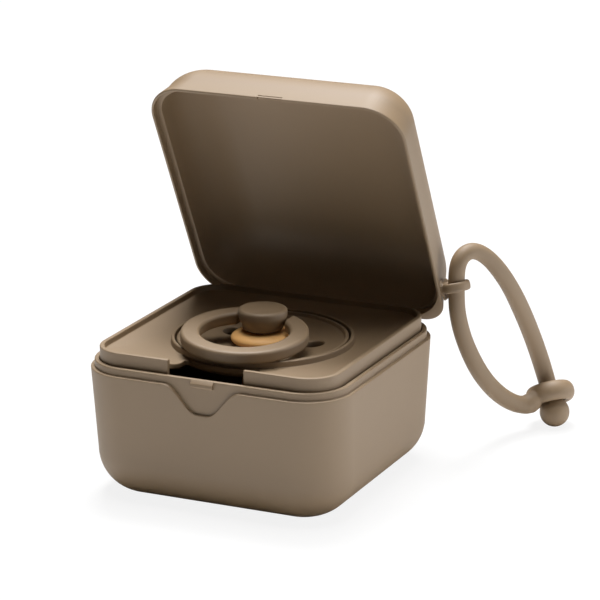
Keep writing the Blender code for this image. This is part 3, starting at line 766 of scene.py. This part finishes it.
tray = {
    "half": 33.4 * mm,
    "draft": 0.2 * mm,
    "foot": 31.0 * mm,
    "top": 39.35 * mm,
    "footCorner": 9.7 * mm,
    "corner": 8.6 * mm,
    "rim": 1.2 * mm,
    "rimEdge": 0.25 * mm,
    "rimSlope": 0.2 * mm,
    "sink": 1.35 * mm,
    "dish": 1.6 * mm,
    "dishSteps": 16,
    "cornerPower": 1.75,
    "fallPower": 1.5,
    "plate": 1.3 * mm,
    "strip": 24.9 * mm,
    "wellOuter": 23.75 * mm,
    "collarOuter": 23.55 * mm,
    "collarInner": 22.75 * mm,
    "collarTop": 37.9 * mm,
    "seat": 34.6 * mm,
    "seatInner": 20.6 * mm,
    "seatOuter": 22.0 * mm,
    "seatThickness": 1.2 * mm,
    "notchHalf": 10.5 * mm,
    "notchCorner": 0.9 * mm,
    "notchShy": 0.04 * mm,
    "notchSteps": 40,
    "notchCornerSteps": 8,
    "notchEdge": 0.2 * mm,
    "notchEdgeSteps": 3,
}


# The notch's straight sides, then its back along the collar, with round corners between.
def notchOutline():
    half, corner = tray["notchHalf"], tray["notchCorner"]
    back = tray["strip"] - tray["notchShy"]
    front = -tray["half"] - overrun
    middleX = half - corner
    middleY = -sqrt((back + corner) ** 2 - middleX**2)
    touch = atan2(middleX, -middleY)
    steps = tray["notchCornerSteps"]
    points = [(half, front), (-half, front)]
    for share in shares(steps):
        angle = pi - (quarterTurn + touch) * share
        across, rise = corner * cos(angle), corner * sin(angle)
        points.append((across - middleX, rise + middleY))
    for share in shares(tray["notchSteps"])[1:-1]:
        angle = touch * (2 * share - 1)
        points.append((back * sin(angle), -back * cos(angle)))
    for share in shares(steps):
        angle = (quarterTurn + touch) * (1 - share)
        across, rise = corner * cos(angle), corner * sin(angle)
        points.append((across + middleX, rise + middleY))
    return points


# Softens the notch's edges: the sharp ones whose both ends lie on the cutter's walls.
def softenNotch(shell, outline):
    corners = [Vector(point) for point in outline]
    walls = list(zip(corners[1:], corners[2:] + corners[:1]))

    def onWall(point):
        flat = Vector((point.x, point.y))
        if flat.y > 0 or abs(flat.x) > tray["notchHalf"] + weldGap:
            return False
        for a, b in walls:
            run = b - a
            way = min(max((flat - a).dot(run) / run.length_squared, 0), 1)
            if (a + run * way - flat).length < nearGap:
                return True
        return False

    bm = bmesh.new()
    bm.from_mesh(shell.data)
    edges = []
    for edge in bm.edges:
        if len(edge.link_faces) == 2 and edge.calc_face_angle() > sharpAngle:
            if onWall(edge.verts[0].co) and onWall(edge.verts[1].co):
                edges.append(edge)
    bmesh.ops.bevel(
        bm, geom=edges, offset=tray["notchEdge"], offset_type="OFFSET",
        segments=tray["notchEdgeSteps"], profile=0.5, affect="EDGES", clamp_overlap=False,
    )
    store(bm, shell.data)


def makeTray():
    half, corner, top = tray["half"], tray["corner"], tray["top"]
    topHalf = half - tray["draft"]
    rimInner = topHalf - tray["rim"]
    rimCorner = corner - tray["rim"]
    sunkHalf = rimInner - tray["rimSlope"]
    sunk = top - tray["sink"]
    strip = tray["strip"]
    foot = sunk - tray["dish"]
    dish = []
    for way in shares(tray["dishSteps"])[1:-1]:
        rounder = way ** tray["cornerPower"]
        fall = 1 - (1 - way) ** tray["fallPower"]
        dish.append((
            sunkHalf + (strip - sunkHalf) * way,
            rimCorner + (strip - rimCorner) * rounder,
            sunk - tray["dish"] * fall,
            0,
        ))
    under = [(width, bend, height - tray["plate"], 0) for width, bend, height, _ in dish]
    seatFoot = tray["seat"] - tray["seatThickness"]
    collar = (
        (strip, foot, softEdge),
        (tray["wellOuter"], foot, fineEdge),
        (tray["collarOuter"], tray["collarTop"], edgeRound),
        (tray["collarInner"], tray["collarTop"], softEdge),
        (tray["collarInner"], tray["seat"], 0),
        (tray["seatInner"], tray["seat"], softEdge),
        (tray["seatInner"], seatFoot, softEdge),
        (tray["seatOuter"], seatFoot, 0),
        (strip, foot - tray["plate"], 0),
    )
    section = [
        (half, tray["footCorner"], tray["foot"], fineEdge),
        (topHalf, corner, top, edgeRound),
        (rimInner, rimCorner, top, tray["rimEdge"]),
        (sunkHalf, rimCorner, sunk, edgeRound),
    ]
    section += dish + [(radius, radius, height, edge) for radius, height, edge in collar]
    section += under[::-1]
    section += [
        (rimInner, rimCorner, sunk - tray["plate"], 0),
        (half - tray["rim"], tray["footCorner"] - tray["rim"], tray["foot"], fineEdge),
    ]
    rings = [squareRing(*row) for row in roundedSection(section, closed=True)]
    shell = skinShape("trayInsert", rings, closed=True)
    outline = notchOutline()
    low, high = base["shelfTop"] - overrun, top + overrun
    cutter = prismShape("notch", [(x, y, low) for x, y in outline], (0, 0, high - low))
    carve(shell, cutter)
    softenNotch(shell, outline)
    return shell


# Pacifier shield: a dished disc with a raised rim and two vents

shield = {
    "radius": 22.2 * mm,
    "top": 37.6 * mm,
    "bottom": 34.9 * mm,
    "rimInner": 21.0 * mm,
    "rimCrest": 21.3 * mm,
    "centre": 34.85 * mm,
    "dish": 2.0 * mm,
    "dishPower": 2.6,
    "thickness": 2.0 * mm,
    "hole": 5.5 * mm,
    "seatInner": 20.3 * mm,
    "edge": 0.35 * mm,
    "crestEdge": 0.22 * mm,
    "dishRings": 26,
    "steps": 168,
    "ventRadius": 2.6 * mm,
    "ventOut": 13.3 * mm,
    "ventAngle": radians(65.6),
    "turn": radians(-3.6),
    "ventEdge": 0.3 * mm,
    "ventSteps": 56,
    "ventRings": (0.0, 0.03, 0.08, 0.15, 0.22, 0.3, 0.4, 0.6, 0.9),
    "ventRoom": 0.35 * mm,
    "insideVent": 0.995,
}


def dishAt(radius):
    way = radius / shield["rimInner"]
    return shield["centre"] + shield["dish"] * way ** shield["dishPower"]


def ventPlaces():
    places, out = [], shield["ventOut"]
    for side in (-1, 1):
        angle = shield["turn"] - side * shield["ventAngle"]
        places.append(Vector((-out * sin(angle), out * cos(angle))))
    return places


# The dish is a flat mesh of rings with finer rings round each vent, lifted to its height.
def dishMesh(outerRadius):
    vents = ventPlaces()
    points, edges = [], []
    keepOff = shield["ventRadius"] + shield["ventRings"][-1] * mm + shield["ventRoom"]

    def addRing(centre, radius, steps, near):
        start = len(points)
        for step in range(steps):
            angle = tau * step / steps
            spot = centre + radius * Vector((cos(angle), sin(angle)))
            if near or min((spot - vent).length for vent in vents) > keepOff:
                points.append(spot)
        if len(points) - start == steps:
            for step in range(steps):
                edges.append((start + step, start + (step + 1) % steps))

    middle, hole = Vector((0, 0)), shield["hole"]
    for share in shares(shield["dishRings"]):
        addRing(middle, hole + (outerRadius - hole) * share, shield["steps"], False)
    for vent in vents:
        for offset in shield["ventRings"]:
            addRing(vent, shield["ventRadius"] + offset * mm, shield["ventSteps"], True)
    flat = delaunay_2d_cdt(points, edges, [], 0, weldGap)
    verts, faces = flat[0], flat[2]
    kept = []
    for face in faces:
        centre = sum((verts[i] for i in face), Vector((0, 0))) / len(face)
        nearest = min((centre - vent).length for vent in vents)
        inVent = nearest < shield["ventRadius"] * shield["insideVent"]
        if centre.length >= hole and not inVent:
            kept.append(face)
    return verts, kept


def makeShield():
    vents = ventPlaces()
    radius, rimInner = shield["radius"], shield["rimInner"]
    inner = shield["seatInner"]
    flat, faces = dishMesh(inner)
    bm = bmesh.new()

    def lifted(spot, side):
        depth = dishAt(spot.length) - (0 if side > 0 else shield["thickness"])
        distance = min((spot - vent).length for vent in vents) - shield["ventRadius"]
        edge = shield["ventEdge"]
        if distance < edge:
            fall = edge - sqrt(max(edge**2 - (edge - max(distance, 0)) ** 2, 0))
            depth -= fall * side
        return Vector((spot.x, spot.y, depth))

    sides = []
    for side in (1, -1):
        verts = [bm.verts.new(lifted(spot, side)) for spot in flat]
        sides.append(verts)
        for face in faces:
            bm.faces.new([verts[i] for i in (face if side > 0 else face[::-1])])
    index = {vert: i for i, vert in enumerate(sides[0])}
    walls = []
    for edge in bm.edges:
        a, b = edge.verts
        isInner = a.co.xy.length < inner - nearGap
        if edge.is_boundary and a in index and b in index and isInner:
            walls.append((index[a], index[b]))
    for a, b in walls:
        bm.faces.new((sides[0][a], sides[0][b], sides[1][b], sides[1][a]))
    rim = roundedSection(
        [
            (inner, 0, dishAt(inner), 0),
            (rimInner, 0, dishAt(rimInner), softEdge),
            (shield["rimCrest"], 0, shield["top"], shield["crestEdge"]),
            (radius, 0, shield["top"], shield["edge"]),
            (radius, 0, shield["bottom"], shield["edge"]),
            (inner, 0, shield["bottom"], fineEdge),
            (inner, 0, dishAt(inner) - shield["thickness"], 0),
        ],
    )
    turnFaces(bm, rim, shield["steps"])
    return finish("pacifierShield", bm)


# Latex teat, whose bulge shows between the shield and the knob

teat = {
    "bulge": 8.3 * mm,
    "topRadius": 4.2 * mm,
    "top": 39.1 * mm,
    "gap": 0.3 * mm,
    "neck": 5.2 * mm,
    "bore": 3.9 * mm,
    "neckLength": 4.0 * mm,
    "bulb": 8.0 * mm,
    "tip": 6.55 * mm,
    "bulbShare": 0.72,
    "wall": 1.3 * mm,
    "steps": 26,
    "turnSteps": 96,
}


def makeTeat():
    face = dishAt(teat["bulge"]) + teat["gap"]
    underside = shield["centre"] - shield["thickness"] - teat["gap"]
    neckEnd = underside - teat["neckLength"]
    middle = (teat["top"] + face) / 2
    outer, inner = [], [(teat["bore"], 0, teat["top"]), (teat["bore"], 0, neckEnd)]
    for share in shares(teat["steps"]):
        angle = pi * share
        radius = teat["topRadius"] + (teat["bulge"] - teat["topRadius"]) * sin(angle)
        outer.append((radius, 0, middle + (teat["top"] - middle) * cos(angle)))
    outer += [(teat["neck"], 0, face), (teat["neck"], 0, neckEnd)]
    centre = teat["tip"] + teat["bulb"]
    for share in shares(teat["steps"])[::-1]:
        angle = pi * teat["bulbShare"] * share
        for rows, size in ((outer, teat["bulb"]), (inner, teat["bulb"] - teat["wall"])):
            rows.append((size * sin(angle), 0, centre - size * cos(angle)))
    return turnedShape("pacifierTeat", inner[::-1] + outer, teat["turnSteps"])


# Knob that plugs the teat, with a shallow dish in its top

knob = {
    "radius": 6.4 * mm,
    "waist": 5.3 * mm,
    "top": 45.0 * mm,
    "bottom": 39.6 * mm,
    "edge": 0.75 * mm,
    "lowEdge": 0.5 * mm,
    "head": 1.5 * mm,
    "dish": 0.16 * mm,
    "dishRadius": 5.1 * mm,
    "dishSteps": 8,
    "stem": 3.6 * mm,
    "stemLength": 6.6 * mm,
    "sideSteps": 8,
    "turnSteps": 112,
}
ring = {
    "axisY": 1.8 * mm,
    "axisZ": 41.45 * mm,
    "reach": 12.45 * mm,
    "slope": radians(3.5),
    "lean": radians(2.0),
    "inner": 11.5 * mm,
    "outer": 16.4 * mm,
    "thickness": 3.3 * mm,
    "edge": 0.9 * mm,
    "gapHalf": 6.7 * mm,
    "endEdge": 0.5 * mm,
    "endSteps": 5,
    "edgeSteps": 9,
    "steps": 150,
    "pegRadius": 1.0 * mm,
    "pegReach": 3.0 * mm,
    "pegSunk": 1.2 * mm,
    "clearance": 0.3 * mm,
}


def makeKnob():
    top, bottom, radius, waist = knob["top"], knob["bottom"], knob["radius"], knob["waist"]
    profile = [(0, 0, top - knob["dish"], 0)]
    for way in shares(knob["dishSteps"])[1:]:
        lift = knob["dish"] * (1 - cos(pi * way)) / 2
        profile.append((knob["dishRadius"] * way, 0, top - knob["dish"] + lift, 0))
    profile += [(radius, 0, top, knob["edge"])]
    shoulder = top - knob["head"]
    foot = bottom + knob["lowEdge"]
    for way in shares(knob["sideSteps"]):
        side = radius + (waist - radius) * (1 - cos(pi * way)) / 2
        profile.append((side, 0, shoulder + (foot - shoulder) * way, 0))
    profile += [
        (waist, 0, bottom, knob["lowEdge"]),
        (knob["stem"], 0, bottom, fineEdge),
        (knob["stem"], 0, bottom - knob["stemLength"], edgeRound),
        (0, 0, bottom - knob["stemLength"], 0),
    ]
    shape = turnedShape("pacifierKnob", roundedSection(profile), knob["turnSteps"])
    reach = radius + overrun
    bore = ring["pegRadius"] + ring["clearance"]
    place = alongX(0, ring["axisY"], ring["axisZ"])
    carve(shape, roundedRod("pegBore", bore, -reach, reach, fineEdge, place))
    return shape


# Open ring handle: its section runs round from one end to the other, and draws in at each end.
def makeRing():
    half = ring["thickness"] / 2
    middle = (ring["inner"] + ring["outer"]) / 2
    width = (ring["outer"] - ring["inner"]) / 2
    section = roundedSection(
        [
            (ring["outer"], 0, -half, ring["edge"]), (ring["outer"], 0, half, ring["edge"]),
            (ring["inner"], 0, half, ring["edge"]), (ring["inner"], 0, -half, ring["edge"]),
        ],
        closed=True, steps=ring["edgeSteps"],
    )
    ends = []
    for share in shares(ring["endSteps"])[:-1]:
        angle = quarterTurn * (1 - share)
        inset = ring["endEdge"] * (1 - cos(angle))
        ends.append((inset, ring["gapHalf"] + ring["endEdge"] * (1 - sin(angle))))
    rows = [(inset, reach, 0) for inset, reach in ends]
    rows += [(0, ring["gapHalf"] + ring["endEdge"], way) for way in shares(ring["steps"])]
    rows += [(inset, reach, 1) for inset, reach in ends[::-1]]
    rings = []
    for inset, reach, way in rows:
        loop = []
        for radius, _, height in section:
            out = middle + (radius - middle) * (1 - inset / width)
            lift = height * (1 - inset / half)
            start = asin(reach / out)
            angle = start + (tau - 2 * start) * way
            loop.append(Vector((out * sin(angle), out * cos(angle), lift)))
        rings.append(loop)
    drop = ring["reach"] * tan(ring["slope"])
    turn = Euler((ring["slope"], ring["lean"], 0)).to_matrix().to_4x4()
    axis = Matrix.Translation((0, ring["axisY"], ring["axisZ"]))
    place = axis @ Matrix.Translation((0, -ring["reach"], -drop)) @ turn
    hoop = skinShape("pacifierRing", rings, place=place)
    tip, root = ring["gapHalf"] - ring["pegReach"], ring["gapHalf"] + ring["pegSunk"]
    place = alongX(0, ring["axisY"], ring["axisZ"])
    pegs = []
    for low, high in ((-root, -tip), (tip, root)):
        pegs.append(roundedRod("peg", ring["pegRadius"], low, high, pinEdge, place))
    gather(hoop, pegs)
    return hoop


# Hinge pin

def makePin():
    low, high = knuckle["lidSpans"][0][0], knuckle["lidSpans"][1][1]
    place = alongX(0, hingeY, hingeZ)
    return roundedRod("hingePin", knuckle["pinRadius"], low, high, pinEdge, place)


# Strap: a round cord from its eyelet through the lug and the eyelet to its ball.
# The route is in metres from the back right corner of the box.

strapRoute = (
    (0.01519, 0.02340, 0.00746), (0.01352, 0.02132, 0.00767), (0.01180, 0.01900, 0.00885),
    (0.01002, 0.01618, 0.01106), (0.00843, 0.01309, 0.01410), (0.00709, 0.01001, 0.01774),
    (0.00599, 0.00707, 0.02187), (0.00509, 0.00427, 0.02647), (0.00439, 0.00190, 0.03109),
    (0.00391, 0.00025, 0.03535), (0.00358, -0.00075, 0.03955), (0.00346, -0.00100, 0.04401),
    (0.00343, -0.00095, 0.04886), (0.00369, -0.00053, 0.05172), (0.00428, 0.00045, 0.05354),
    (0.00514, 0.00196, 0.05450), (0.00614, 0.00373, 0.05454), (0.00738, 0.00588, 0.05355),
    (0.00884, 0.00841, 0.05138), (0.01024, 0.01120, 0.04816), (0.01137, 0.01439, 0.04422),
    (0.01218, 0.01786, 0.03979), (0.01279, 0.02162, 0.03475), (0.01332, 0.02500, 0.02989),
    (0.01390, 0.02777, 0.02525), (0.01456, 0.02985, 0.02093), (0.01533, 0.03115, 0.01708),
    (0.01621, 0.03158, 0.01386), (0.01734, 0.03124, 0.01080), (0.01862, 0.03018, 0.00799),
)
strap = {
    "diameter": 4.7 * mm,
    "length": 121 * mm,
    "pointsPerSpan": 7,
    "sides": 36,
    # Share of the length and thickness there
    "thickness": (
        (0.0, 4.7), (0.08, 4.72), (0.2, 4.66), (0.3, 4.45), (0.4, 4.35),
        (0.54, 4.35), (0.64, 4.55), (0.76, 4.8), (0.92, 4.84), (1.0, 4.7),
    ),
    "eyeletWall": 4.0 * mm,
    "eyeletHeight": 5.4 * mm,
    "eyeletMiddle": 4.7 * mm,
    "eyeletSteps": 40,
    "eyeletTurnSteps": 88,
    # Way along the cord, lift into the eyelet and thickness of the cord's flared start
    "stub": (
        (-2.8, 2.3, 2.0), (-1.8, 1.4, 2.4), (-0.9, 0.6, 2.7), (0.0, 0.15, 2.75), (1.0, 0.0, 2.6),
        (2.2, 0.0, 2.45), (3.8, 0.0, 2.35), (5.5, 0.0, 2.2),
    ),
    "voxel": 0.2 * mm,
    "softenRounds": 12,
    "ballRadius": 4.05 * mm,
    "ballSteps": 32,
    "ballInEyelet": 1.7 * mm,
    "eyeletTurn": radians(-1),
    "gap": 0.3 * mm,
    "movesFrom": (0.0405, 0.037, 0.046),
    "staysFrom": (0.052, 0.060, 0.014),
}


def smoothPoint(points, index, way):
    last = len(points) - 1
    a, b, c, d = (points[min(max(index + k, 0), last)] for k in (-1, 0, 1, 2))
    bend = (2 * a - 5 * b + 4 * c - d) * way**2 + (3 * b - a - 3 * c + d) * way**3
    return b + ((c - a) * way + bend) / 2


def strapPath():
    corner = Vector((boxHalf, boxHalf, 0))
    points = [corner + Vector(point) for point in strapRoute]
    path = []
    for index in range(len(points) - 1):
        for share in shares(strap["pointsPerSpan"])[:-1]:
            path.append(smoothPoint(points, index, share))
    path.append(points[-1])
    return path


def between(table, share):
    for (low, start), (high, end) in zip(table, table[1:]):
        if share <= high:
            way = (share - low) / (high - low)
            way = way * way * (3 - 2 * way)
            return start + (end - start) * way
    return table[-1][1]


# Node group that sweeps a circle along a line of points, as thick as each point says.
def sweepGroup():
    group = bpy.data.node_groups.new("sweepCord", "GeometryNodeTree")
    face = group.interface
    face.new_socket("Line", in_out="INPUT", socket_type="NodeSocketGeometry")
    face.new_socket("Cord", in_out="OUTPUT", socket_type="NodeSocketGeometry")
    entry = addNode(group, "NodeGroupInput")
    leave = addNode(group, "NodeGroupOutput")
    curve = addNode(group, "GeometryNodeMeshToCurve")
    reach = addNode(group, "GeometryNodeInputNamedAttribute", Name="reach")
    reach.data_type = "FLOAT"
    circle = addNode(
        group, "GeometryNodeCurvePrimitiveCircle", Radius=1.0, Resolution=strap["sides"],
    )
    sweep = addNode(group, "GeometryNodeCurveToMesh")
    sweep.inputs["Fill Caps"].default_value = True
    smooth = addNode(group, "GeometryNodeSetShadeSmooth")
    link(
        group, (entry, "Line", curve, "Mesh"), (curve, "Curve", sweep, "Curve"),
        (reach, "Attribute", sweep, "Scale"), (circle, "Curve", sweep, "Profile Curve"),
        (sweep, "Mesh", smooth, "Geometry"), (smooth, "Geometry", leave, "Cord"),
    )
    return group


def sweptCord(name, path, radii):
    mesh = bpy.data.meshes.new(name)
    mesh.from_pydata(path, [(i, i + 1) for i in range(len(path) - 1)], [])
    reach = mesh.attributes.new("reach", "FLOAT", "POINT")
    reach.data.foreach_set("value", radii)
    cord = addObject(name, mesh)
    cord.modifiers.new("sweep", "NODES").node_group = sweepGroup()
    bake(cord)
    return cord


def pathRadii(path):
    lengths = [0]
    for a, b in zip(path, path[1:]):
        lengths.append(lengths[-1] + (b - a).length)
    table = strap["thickness"]
    return [between(table, length / lengths[-1]) * mm / 2 for length in lengths]


def towards(place, direction):
    return Matrix.Translation(place) @ direction.to_track_quat("Z", "Y").to_matrix().to_4x4()


# The eyelet, fused with the start of the cord, which flares into it.
def makeEyelet(path, tail, ballCentre):
    half, wall = strap["eyeletHeight"] / 2, strap["eyeletWall"] / 2
    middle = ballCentre - tail * (strap["ballRadius"] + half - strap["ballInEyelet"])
    rows = []
    for step in range(strap["eyeletSteps"]):
        angle = tau * step / strap["eyeletSteps"]
        radius = strap["eyeletMiddle"] + wall * cos(angle)
        rows.append((radius, 0, half * sin(angle)))
    turn = Matrix.Rotation(strap["eyeletTurn"], 4, cameraAxes[2])
    place = Matrix.Translation(middle) @ turn @ towards((0, 0, 0), tail)
    eyelet = turnedShape("strapEyelet", rows, strap["eyeletTurnSteps"], closed=True, place=place)
    onward = (path[3] - path[0]).normalized()
    spots, radii = [], []
    for along, lift, radius in strap["stub"]:
        if along <= 0:
            spots.append(path[0] + (onward * along - tail * lift) * mm)
        else:
            walked, index = 0, 0
            while walked < along * mm:
                walked += (path[index + 1] - path[index]).length
                index += 1
            spots.append(path[index])
        radii.append(radius * mm)
    gather(eyelet, [sweptCord("stub", spots, radii)])
    fuse(eyelet, strap["voxel"], strap["softenRounds"])
    for polygon in eyelet.data.polygons:
        polygon.use_smooth = True
    return eyelet


def makeStrap():
    path = strapPath()
    cord = sweptCord("strapCord", path, pathRadii(path))
    tail = (path[-1] - path[-2]).normalized()
    centre = path[-1] + tail * (strap["ballRadius"] + strap["gap"])
    eyelet = makeEyelet(path, tail, centre)
    rows, radius, steps = [], strap["ballRadius"], strap["ballSteps"]
    for share in shares(steps):
        angle = pi * share
        rows.append((radius * sin(angle), 0, -radius * cos(angle)))
    ball = turnedShape("strapBall", rows, 2 * steps, place=towards(centre, tail))
    return cord, eyelet, ball, path


# Pieces, each in place of the CAD node of the same form

def dress(piece, node, slot):
    for item in (piece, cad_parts[node]):
        item.data.materials.clear()
        item.data.materials.append(slotMaterials[slot])
    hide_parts(node)
    print(f"{piece.name} is made with {len(piece.data.polygons)} faces")


cord, eyelet, ball, cordPath = makeStrap()
for piece, node in ((cord, "strap_cord"), (eyelet, "strap_eyelet"), (ball, "strap_ball")):
    dress(piece, node, "strap_silicone")
    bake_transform(piece)

for make, node, body, slot in (
    (makeBase, "base_shell", "base", "shell_plastic"),
    (makeTray, "tray_insert", "base", "shell_plastic"),
    (makePin, "hinge_pin", "base", "pin_steel"),
    (makeLid, "lid_shell", "lid", "shell_plastic"),
    (makeShield, "pacifier_shield", "pacifier", "pacifier_plastic"),
    (makeTeat, "pacifier_nipple", "pacifier", "teat_latex"),
    (makeKnob, "pacifier_knob", "pacifier", "pacifier_plastic"),
    (makeRing, "pacifier_ring", "ring", "pacifier_plastic"),
):
    piece = make()
    dress(piece, node, slot)
    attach(piece, body)


# Floor, a pale plane that is nearly white where the camera sees it, and keeps its shadow

floorLook = {
    "half": 1.5,
    "color": (0.93, 0.93, 0.93, 1),
    "roughness": 0.9,
    "whiteShare": 0.86,
}


def makeFloor():
    bm = bmesh.new()
    bmesh.ops.create_grid(bm, x_segments=1, y_segments=1, size=floorLook["half"])
    mesh = bpy.data.meshes.new("floor")
    bm.to_mesh(mesh)
    bm.free()
    material, tree, shader = newMaterial("paleFloor")
    shader.inputs["Base Color"].default_value = floorLook["color"]
    shader.inputs["Roughness"].default_value = floorLook["roughness"]
    glow = addNode(tree, "ShaderNodeEmission", Color=white, Strength=1.0)
    lightPath = addNode(tree, "ShaderNodeLightPath")
    share = addNode(tree, "ShaderNodeMath")
    share.operation = "MULTIPLY"
    share.inputs[1].default_value = floorLook["whiteShare"]
    mix = addNode(tree, "ShaderNodeMixShader")
    link(
        tree, (lightPath, "Is Camera Ray", share, 0), (share, 0, mix, "Fac"),
        (shader, 0, mix, 1), (glow, 0, mix, 2),
        (mix, 0, tree.nodes["Material Output"], "Surface"),
    )
    mesh.materials.append(material)
    addObject("floor", mesh)


makeFloor()
print("the floor is laid")
